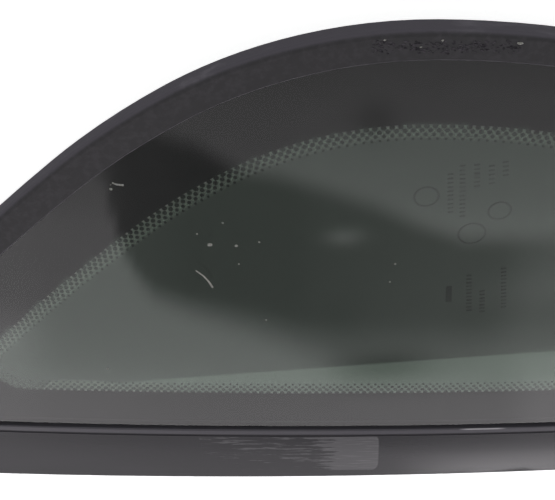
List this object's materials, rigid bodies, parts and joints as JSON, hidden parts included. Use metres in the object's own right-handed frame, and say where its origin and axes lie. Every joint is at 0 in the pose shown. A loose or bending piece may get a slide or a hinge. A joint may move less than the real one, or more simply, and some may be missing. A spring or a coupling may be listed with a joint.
{
  "type": "fixed quarter window",
  "caption": "Bulged tinted quarter window with a black dotted border, a rubber edge moulding and a straight trim bar.",
  "frame": {"origin": "centre of the window's outline at the level it rests on, lying with its outer face up", "axes": "+X along the straight bar from the tip to the straight end, +Y from the bar to the crest of the arch, +Z out of the glass"},
  "size_m": [0.2696, 0.1684, 0.0186],
  "materials": {
    "tinted_glass": "smooth tinted toughened glass",
    "black_enamel": "fired black enamel",
    "moulding_rubber": "weathered matte rubber",
    "trim_plastic": "satin moulded plastic with scuffs",
    "rail_plastic": "matte moulded plastic",
    "bond_rubber": "set adhesive"
  },
  "bodies": {
    "root": {"glass_pane": "tinted_glass", "border_print": "black_enamel", "arch_moulding": "moulding_rubber", "bar_trim": "trim_plastic", "bar_rail": "rail_plastic", "glass_bond": "bond_rubber"}
  },
  "joints": []
}
